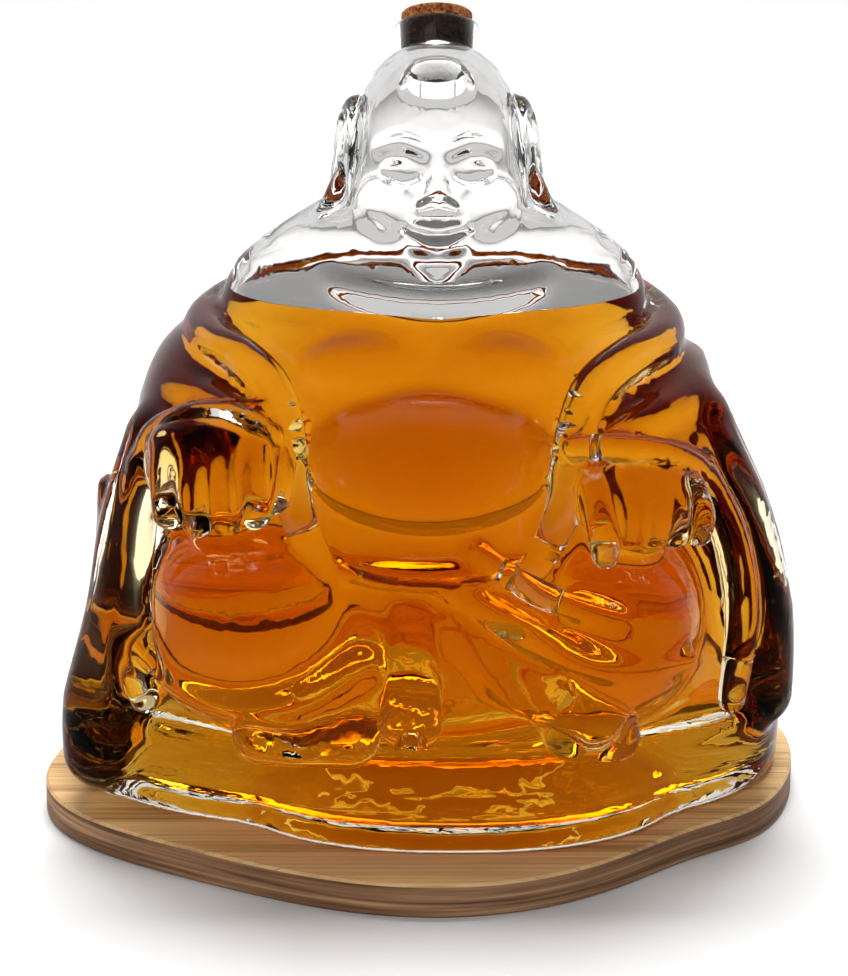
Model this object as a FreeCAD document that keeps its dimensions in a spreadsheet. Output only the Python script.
"""Figural glass decanter: a seated, robed, big-bellied figure with a corked neck, on a bamboo board.

Frame: millimetres, +Z up, origin at the middle of the board's underside. The figure faces -Y and
"left" and "right" are as seen from the front, so left is -X. The bottle is modelled with its own
underside at Z = 0 and is then lifted onto the board.
"""

import FreeCAD, Part
import os

import Sketcher

doc = FreeCAD.newDocument("figural_decanter")

# Driving dimensions, in millimetres and degrees

SIZES = {
    "wall": 3.0,
    "floor_thickness": 5.0,
    "liquor_level": 118.0,
    "punt_depth": 1.2,
    "punt_margin": 12.0,
    # Corked neck, which leans back out of the crown of the head
    "neck_y": 14.0,
    "neck_z": 162.0,
    "neck_lean": 28.0,
    "neck_length": 15.0,
    "neck_buried": 5.0,
    "neck_lip_radius": 10.0,
    "neck_root_radius": 11.5,
    "bore_lip_radius": 8.3,
    "bore_root_radius": 7.8,
    "cork_clearance": 0.06,
    "cork_depth": 10.0,
    "cork_proud": 3.0,
    "cork_bevel": 0.5,
    # Bamboo board
    "board_thickness": 8.0,
    "board_side_margin": 5.4,
    "board_front_margin": 15.0,
    "board_back_margin": 20.6,
    "board_edge": 0.6,
    "stave_width": 18.75,
}

# Rounded masses of the figure: x, y, z of the centre, then half width, half depth and half height
TORSO = {
    "belly": (1.2, -24.0, 87.5, 30.0, 34.0, 18.4),
    "waistband": (1.2, -22.0, 65.5, 28.2, 33.0, 7.2),
    "lap": (2.0, -15.0, 40.0, 43.0, 37.5, 23.0),
    "sash": (-2.5, -49.0, 42.0, 7.0, 10.5, 20.0),
    "head": (3.0, 0.0, 151.2, 19.6, 26.2, 23.8),
    "jowls": (3.0, -6.0, 141.0, 19.8, 21.6, 15.0),
    "ear_left": (-18.9, -2.0, 139.4, 4.3, 6.8, 19.6),
    "ear_right": (24.9, -2.6, 139.6, 4.4, 6.9, 19.7),
    "chin_fold": (3.0, -18.6, 124.8, 23.5, 14.4, 4.6),
}
LEFT_ARM = {
    "sleeve_left": (-46.0, -15.0, 91.5, 19.6, 32.2, 20.2),
    "cuff_left": (-48.5, -37.5, 95.0, 16.5, 9.5, 7.5),
    "hand_left": (-46.5, -43.0, 85.0, 15.0, 12.5, 14.5),
    "collar_left": (-46.8, -6.5, 109.6, 5.4, 20.0, 5.6),
    "roll_left": (-38.8, -29.6, 102.6, 5.4, 17.0, 5.2),
    "lapel_left": (-30.0, -38.6, 80.5, 5.8, 7.0, 21.5),
    "drape_left": (-70.0, -25.6, 47.0, 10.2, 13.0, 45.0),
}
RIGHT_ARM = {
    "sleeve_right": (48.0, -15.0, 89.5, 19.6, 32.2, 20.2),
    "cuff_right": (49.0, -37.5, 90.0, 16.5, 9.8, 7.0),
    "hand_right": (47.0, -43.0, 77.5, 14.5, 12.5, 12.5),
    "collar_right": (51.6, -6.5, 109.0, 5.8, 20.0, 6.0),
    "roll_right": (43.4, -29.6, 102.0, 5.7, 17.0, 5.5),
    "lapel_right": (33.2, -38.6, 79.2, 6.0, 7.2, 23.5),
    "drape_right": (72.6, -21.0, 52.0, 10.8, 15.6, 40.0),
}
LEFT_LEG = {
    "knee_left": (-38.0, -26.0, 53.0, 25.2, 35.6, 20.6),
    "shin_left": (-29.0, -40.5, 36.0, 32.0, 18.0, 13.0),
    "foot_left": (-26.5, -50.0, 26.8, 16.5, 10.5, 8.2),
}
RIGHT_LEG = {
    "knee_right": (43.0, -25.0, 47.5, 21.7, 35.6, 24.6),
    "shin_right": (24.0, -45.0, 40.0, 24.0, 16.0, 11.0),
    "foot_right": (38.0, -50.2, 27.2, 10.6, 9.2, 7.4),
}

# Forms that stand at an angle: the axis they are turned about, then the angle in degrees
LEANS = {
    "ear_left": ((0, 1, 0), 20.0),
    "ear_right": ((0, 1, 0), -20.0),
    "collar_left": ((1, 0, 0), 9.0),
    "collar_right": ((1, 0, 0), 9.0),
    "roll_left": ((0.585, 0, 0.811), 48.0),
    "roll_right": ((0.585, 0, -0.811), 48.0),
    "lapel_left": ((-0.82, -0.57, 0), 17.5),
    "lapel_right": ((-0.8, 0.6, 0), 16.5),
    "sleeve_left": ((1, 0, 0), 24.0),
    "sleeve_right": ((1, 0, 0), 26.0),
    "cuff_left": ((0, 1, 0), -10.0),
    "cuff_right": ((0, 1, 0), 14.0),
    "drape_left": ((0, 1, 0), 9.5),
    "drape_right": ((0, 1, 0), -11.0),
    "shin_left": ((0, 1, 0), 3.0),
    "shin_right": ((0, 1, 0), 36.0),
}

# Level sections from the underside up: x, y, z of the centre, then half width and half depth
SLAB = {
    "slab_sole": (0.0, 4.0, 0.0, 82.0, 48.0),
    "slab_rim": (0.0, 4.0, 3.5, 84.6, 50.4),
    "slab_side": (0.5, 4.0, 17.0, 85.2, 50.6),
    "slab_top": (0.5, 4.0, 20.5, 82.0, 48.0),
}
ROBE = {
    "robe_hem": (2.0, 4.0, 12.0, 83.0, 51.0),
    "robe_skirt": (3.8, 4.0, 25.0, 82.5, 51.0),
    "robe_knee": (4.9, 4.0, 37.0, 80.8, 50.5),
    "robe_thigh": (4.0, 4.0, 50.0, 77.5, 48.7),
    "robe_waist": (2.5, 3.5, 64.0, 74.0, 46.2),
    "robe_elbow": (0.9, 3.0, 78.0, 71.0, 43.0),
    "robe_arm": (0.9, 2.9, 88.0, 67.5, 40.8),
    "robe_shoulder": (1.0, 3.9, 99.0, 60.5, 37.8),
    "robe_collar": (1.9, 4.8, 106.0, 55.0, 34.4),
    "robe_neckline": (2.3, 5.4, 111.5, 48.0, 30.4),
}
TRUNK = {
    "trunk_waist": (1.0, -20.0, 46.0, 30.0, 29.0),
    "trunk_girdle": (1.0, -21.0, 64.0, 29.0, 28.0),
    "trunk_middle": (1.0, -19.0, 85.0, 33.0, 29.0),
    "trunk_chest": (1.2, -13.0, 100.0, 39.5, 29.5),
    "trunk_breast": (2.2, -1.0, 115.0, 49.5, 32.4),
    "trunk_shoulder": (2.7, 0.6, 125.0, 45.6, 27.0),
    "trunk_nape": (2.8, 0.3, 131.0, 38.5, 24.2),
    "trunk_throat": (3.0, 0.5, 140.0, 25.0, 22.0),
}
PLINTH = {
    "plinth_sole": (7.0, -16.0, 0.0, 53.0, 41.0),
    "plinth_rim": (7.0, -16.0, 4.0, 57.0, 44.0),
    "plinth_side": (7.0, -16.0, 13.0, 56.5, 43.6),
    "plinth_top": (6.5, -16.0, 19.0, 51.0, 38.5),
}

# Masses that the blown glass follows on the inside too
HOLLOW_FORMS = (
    "belly",
    "lap",
    "head",
    "jowls",
    "sleeve_left",
    "sleeve_right",
    "knee_left",
    "knee_right",
)

FORM_SIZES = ("x", "y", "z", "half_width", "half_depth", "half_height")
SECTION_SIZES = ("x", "y", "z", "half_width", "half_depth")
TABLES = (
    (TORSO, FORM_SIZES),
    (LEFT_ARM, FORM_SIZES),
    (RIGHT_ARM, FORM_SIZES),
    (LEFT_LEG, FORM_SIZES),
    (RIGHT_LEG, FORM_SIZES),
    (SLAB, SECTION_SIZES),
    (ROBE, SECTION_SIZES),
    (TRUNK, SECTION_SIZES),
    (PLINTH, SECTION_SIZES),
)


def fill_sheet():
    """A spreadsheet whose column B holds every driving dimension under its own alias."""
    sheet = doc.addObject("Spreadsheet::Sheet", "Dims")
    rows = dict(SIZES)
    for table, names in TABLES:
        for form, values in table.items():
            rows.update({f"{form}_{name}": value for name, value in zip(names, values)})
    rows.update({f"{form}_lean": angle for form, (axis, angle) in LEANS.items()})
    for row, (alias, value) in enumerate(rows.items(), start=1):
        sheet.set(f"A{row}", alias)
        sheet.set(f"B{row}", str(value))
        sheet.setAlias(f"B{row}", alias)
    doc.recompute()
    return sheet


dims = fill_sheet()


def bind(feature, **expressions):
    """Binds properties, written with __ for a dot, to expressions over the sheet."""
    for name, expression in expressions.items():
        feature.setExpression(name.replace("__", "."), expression)
    return feature


def cell(alias):
    return f"Dims.{alias}"


def place(feature, x, y, z):
    return bind(feature, Placement__Base__x=x, Placement__Base__y=y, Placement__Base__z=z)


def lean(feature, axis, angle, expression):
    """Turns a feature about an axis, with the angle bound to the sheet."""
    feature.Placement = FreeCAD.Placement(FreeCAD.Vector(), FreeCAD.Rotation(axis, angle))
    return bind(feature, Placement__Rotation__Angle=expression)


def fuse(label, forms):
    """Joins forms one after another into one solid under the given label."""
    joined, *others = forms
    for form in others:
        join = doc.addObject("Part::Fuse", label)
        join.Base = joined
        join.Tool = form
        join.Refine = False
        joined = join
    joined.Label = label
    return joined


def upright(outline, label, height):
    """A flat outline pulled up along Z."""
    block = doc.addObject("Part::Extrusion", label)
    block.Base = outline
    block.DirMode = "Custom"
    block.Dir = FreeCAD.Vector(0, 0, 1)
    block.Solid = True
    return bind(block, LengthFwd=height)


def on_board(feature):
    """Lifts a finished piece of the bottle onto the board."""
    return bind(feature, Placement__Base__z=cell("board_thickness"))


def origin_plane(body, role):
    return next(plane for plane in body.Origin.OriginFeatures if plane.Role == role)


# Bottle: outer masses, hollow and the glass between them


def rounded_mass(form, inset="0"):
    """One ellipsoid of the figure, drawn in by inset all round."""
    mass = doc.addObject("Part::Ellipsoid", form)
    bind(
        mass,
        Radius1=f"{cell(form)}_half_height - {inset}",
        Radius2=f"{cell(form)}_half_width - {inset}",
        Radius3=f"{cell(form)}_half_depth - {inset}",
    )
    if form in LEANS:
        axis, angle = LEANS[form]
        lean(mass, FreeCAD.Vector(axis), angle, f"{cell(form)}_lean")
    return place(mass, f"{cell(form)}_x", f"{cell(form)}_y", f"{cell(form)}_z")


def level_section(name, inset="0", z=None):
    ellipse = doc.addObject("Part::Ellipse", name)
    bind(
        ellipse,
        MajorRadius=f"{cell(name)}_half_width - {inset}",
        MinorRadius=f"{cell(name)}_half_depth - {inset}",
    )
    return place(ellipse, f"{cell(name)}_x", f"{cell(name)}_y", z or f"{cell(name)}_z")


def loft(label, sections):
    skin = doc.addObject("Part::Loft", label)
    skin.Sections = sections
    skin.Solid = True
    skin.Ruled = False
    skin.MaxDegree = 3
    return skin


def robe_inside():
    """The slab and the robe drawn in by the wall, from the glass floor to under the collar."""
    wall = cell("wall")
    sole, *others, neckline = ROBE
    sections = [level_section("slab_rim", f"2 * {wall}", cell("floor_thickness"))]
    sections += [level_section(name, wall) for name in (sole, *others)]
    sections.append(level_section(neckline, wall, f"{cell(neckline)}_z - {wall} / 2"))
    return loft("robe_hollow", sections)


def trunk_inside():
    """The trunk drawn in by the wall, open upwards into the head."""
    return loft("trunk_hollow", [level_section(name, cell("wall")) for name in TRUNK])


def along_neck(feature, distance, lift="0"):
    """Stands a feature on the neck's leaning axis, at a distance out from the neck's root."""
    lean(feature, FreeCAD.Vector(-1, 0, 0), dims.neck_lean, cell("neck_lean"))
    return place(
        feature,
        f"{cell('head')}_x",
        f"{cell('neck_y')} + ({distance}) * sin({cell('neck_lean')} * 1 deg)",
        f"{cell('neck_z')} + ({distance}) * cos({cell('neck_lean')} * 1 deg) + {lift}",
    )


def neck_outside():
    cone = doc.addObject("Part::Cone", "neck_blank")
    bind(
        cone,
        Radius1=cell("neck_root_radius"),
        Radius2=cell("neck_lip_radius"),
        Height=f"{cell('neck_length')} + {cell('neck_buried')}",
    )
    return along_neck(cone, f"-{cell('neck_buried')}")


def neck_bore():
    """Tapered bore from inside the head out past the lip."""
    bore = doc.addObject("Part::Cone", "neck_bore")
    bind(
        bore,
        Radius1=cell("bore_root_radius"),
        Radius2=cell("bore_lip_radius"),
        Height=cell("neck_length"),
    )
    return along_neck(bore, "0")


def masses(label, table):
    """Rounded masses that make up one region of the figure."""
    return fuse(label, [rounded_mass(form) for form in table])


def outside():
    """The figure, joined region by region on the slab that it sits on."""
    seat = [
        loft("slab", [level_section(name) for name in SLAB]),
        loft("robe", [level_section(name) for name in ROBE]),
        loft("plinth", [level_section(name) for name in PLINTH]),
    ]
    trunk = loft("trunk", [level_section(name) for name in TRUNK])
    regions = [
        fuse("seat", seat),
        fuse("torso", [trunk, *map(rounded_mass, TORSO)]),
        masses("left_arm", LEFT_ARM),
        masses("right_arm", RIGHT_ARM),
        masses("left_leg", LEFT_LEG),
        masses("right_leg", RIGHT_LEG),
        neck_outside(),
    ]
    return fuse("figure", regions)


def inside():
    forms = [robe_inside(), trunk_inside()]
    forms += [rounded_mass(form, cell("wall")) for form in HOLLOW_FORMS]
    return fuse("hollow", [*forms, neck_bore()])


def glass_bottle():
    """The figure less its hollow, with a shallow push-up under the foot so that it stands on a rim."""
    shell = doc.addObject("Part::Cut", "shell")
    shell.Base = outside()
    shell.Tool = hollow
    outline = doc.addObject("Part::Ellipse", "punt_outline")
    bind(
        outline,
        MajorRadius=f"{cell('slab_sole')}_half_width - {cell('punt_margin')}",
        MinorRadius=f"{cell('slab_sole')}_half_depth - {cell('punt_margin')}",
    )
    place(outline, f"{cell('slab_sole')}_x", f"{cell('slab_sole')}_y", "0")
    bottle = doc.addObject("Part::Cut", "glass_bottle")
    bottle.Base = shell
    bottle.Tool = upright(outline, "punt", cell("punt_depth"))
    return on_board(bottle)


def liquor():
    """What the bottle holds, filled level across the chest."""
    reach = f"({cell('slab_rim')}_half_width + {cell('slab_rim')}_half_depth)"
    below = doc.addObject("Part::Box", "below_level")
    bind(below, Length=f"2 * {reach}", Width=f"2 * {reach}", Height=cell("liquor_level"))
    place(below, f"-{reach}", f"-{reach}", "0")
    filled = doc.addObject("Part::Common", "liquor")
    filled.Base = hollow
    filled.Tool = below
    return on_board(filled)


# Cork stopper


def turned_body(label, profile):
    """A body turned about its own Z axis from a closed profile of (radius, height) expressions."""
    body = doc.addObject("PartDesign::Body", label)
    sketch = body.newObject("Sketcher::SketchObject", f"{label}_profile")
    sketch.AttachmentSupport = [(origin_plane(body, "XZ_Plane"), "")]
    sketch.MapMode = "FlatFace"
    corners = [
        FreeCAD.Vector(dims.evalExpression(radius), dims.evalExpression(height), 0)
        for radius, height in profile
    ]
    count = len(corners)
    for number, corner in enumerate(corners):
        sketch.addGeometry(Part.LineSegment(corner, corners[(number + 1) % count]))
    for number in range(count):
        sketch.addConstraint(Sketcher.Constraint("Coincident", number, 2, (number + 1) % count, 1))
    for number, (corner, (radius, height)) in enumerate(zip(corners, profile)):
        spans = (("DistanceX", corner.x, radius), ("DistanceY", corner.y, height))
        for kind, span, expression in spans:
            index = sketch.addConstraint(Sketcher.Constraint(kind, -1, 1, number, 1, span))
            sketch.setExpression(f"Constraints[{index}]", expression)
    turn = body.newObject("PartDesign::Revolution", f"{label}_turn")
    turn.Profile = sketch
    turn.ReferenceAxis = (sketch, ["V_Axis"])
    turn.Angle = 360
    doc.recompute()
    return body


def cork_stopper():
    """A tapered cork that seats in the bore with a small clearance and stands proud of the lip."""
    depth, proud, bevel = cell("cork_depth"), cell("cork_proud"), cell("cork_bevel")
    slope = f"({cell('bore_lip_radius')} - {cell('bore_root_radius')}) / {cell('neck_length')}"
    seat = f"({cell('bore_lip_radius')} - {cell('cork_clearance')})"
    low = f"({seat} - {depth} * {slope})"
    high = f"({seat} + {proud} * {slope})"
    length = f"({depth} + {proud})"
    profile = [
        ("0", "0"),
        (f"{low} - {bevel}", "0"),
        (low, bevel),
        (high, f"{length} - {bevel}"),
        (f"{high} - {bevel}", length),
        ("0", length),
    ]
    cork = turned_body("cork_stopper", profile)
    return along_neck(cork, f"{cell('neck_length')} - {depth}", cell("board_thickness"))


# Bamboo board, glued up from staves that run from side to side

# Outline of the board as shares of its reach to the side and to the front or back
BOARD_OUTLINE = (
    (-1.00, 0.04),
    (-0.93, -0.40),
    (-0.57, -0.74),
    (-0.24, -0.94),
    (0.03, -1.00),
    (0.35, -0.90),
    (0.55, -0.72),
    (0.69, -0.57),
    (0.85, -0.42),
    (0.97, -0.14),
    (1.00, 0.10),
    (0.90, 0.58),
    (0.52, 0.90),
    (0.00, 1.00),
    (-0.52, 0.90),
    (-0.90, 0.58),
)


# How far the board reaches to the side, the front and the back of the origin
BOARD_REACH = {
    "side": f"({cell('slab_rim')}_half_width + {cell('board_side_margin')})",
    "front": f"({cell('plinth_rim')}_half_depth - {cell('plinth_rim')}_y + {cell('board_front_margin')})",
    "back": f"({cell('slab_rim')}_half_depth + {cell('slab_rim')}_y + {cell('board_back_margin')})",
}


def board_reach():
    return [dims.evalExpression(expression) for expression in BOARD_REACH.values()]


def board():
    side, front, back = board_reach()
    points = [
        FreeCAD.Vector(x * side, y * (front if y < 0 else back), 0) for x, y in BOARD_OUTLINE
    ]
    outline = Part.BSplineCurve()
    outline.interpolate(Points=points, PeriodicFlag=True)
    body = doc.addObject("PartDesign::Body", "board")
    sketch = body.newObject("Sketcher::SketchObject", "board_outline")
    sketch.AttachmentSupport = [(origin_plane(body, "XY_Plane"), "")]
    sketch.MapMode = "FlatFace"
    sketch.addGeometry(outline)
    pad = body.newObject("PartDesign::Pad", "board_pad")
    pad.Profile = sketch
    bind(pad, Length=cell("board_thickness"))
    doc.recompute()
    rims = [f"Edge{n}" for n, edge in enumerate(pad.Shape.Edges, start=1) if edge.isClosed()]
    bevel = body.newObject("PartDesign::Chamfer", "board_bevel")
    bevel.Base = (pad, rims)
    bind(bevel, Size=cell("board_edge"))
    doc.recompute()
    return body


def staves():
    """The board cut into strips along X, numbered outwards from a glue line at its middle.

    The strips nearest the front and the back take in all that is left of the board there.
    """
    side, front, back = board_reach()
    whole = board()
    rows = round((front + back) / 2 / dims.stave_width)
    width, reach = cell("stave_width"), BOARD_REACH["side"]
    middle = f"({BOARD_REACH['back']} - {BOARD_REACH['front']}) / 2"
    found = []
    for row in range(rows):
        span = 2 if row == rows - 1 else 1
        for low in (f"{middle} - {row + span} * {width}", f"{middle} + {row} * {width}"):
            number = len(found) + 1
            strip = doc.addObject("Part::Box", f"strip_{number}")
            bind(
                strip,
                Length=f"4 * {reach}",
                Width=f"{span} * {width}",
                Height=cell("board_thickness"),
            )
            place(strip, f"-2 * {reach}", low, "0")
            stave = doc.addObject("Part::Common", f"base_stave_{number}")
            stave.Base = whole
            stave.Tool = strip
            found.append(stave)
    return found


hollow = inside()
PIECES = [glass_bottle(), liquor(), cork_stopper(), *staves()]
doc.recompute()

for feature in doc.Objects:
    if "Invalid" in feature.State or "Error" in feature.State:
        raise RuntimeError(f"{feature.Label} failed: {feature.State}")
for piece in PIECES:
    if piece.Shape.isNull() or not piece.Shape.isValid():
        raise RuntimeError(f"{piece.Label} has no valid shape")

os.makedirs("parts", exist_ok=True)
for piece in PIECES:
    piece.Shape.exportStep(f"parts/{piece.Label}.step")
    print(piece.Label, len(piece.Shape.Solids), "solid,", round(piece.Shape.Volume / 1000, 1), "ml")
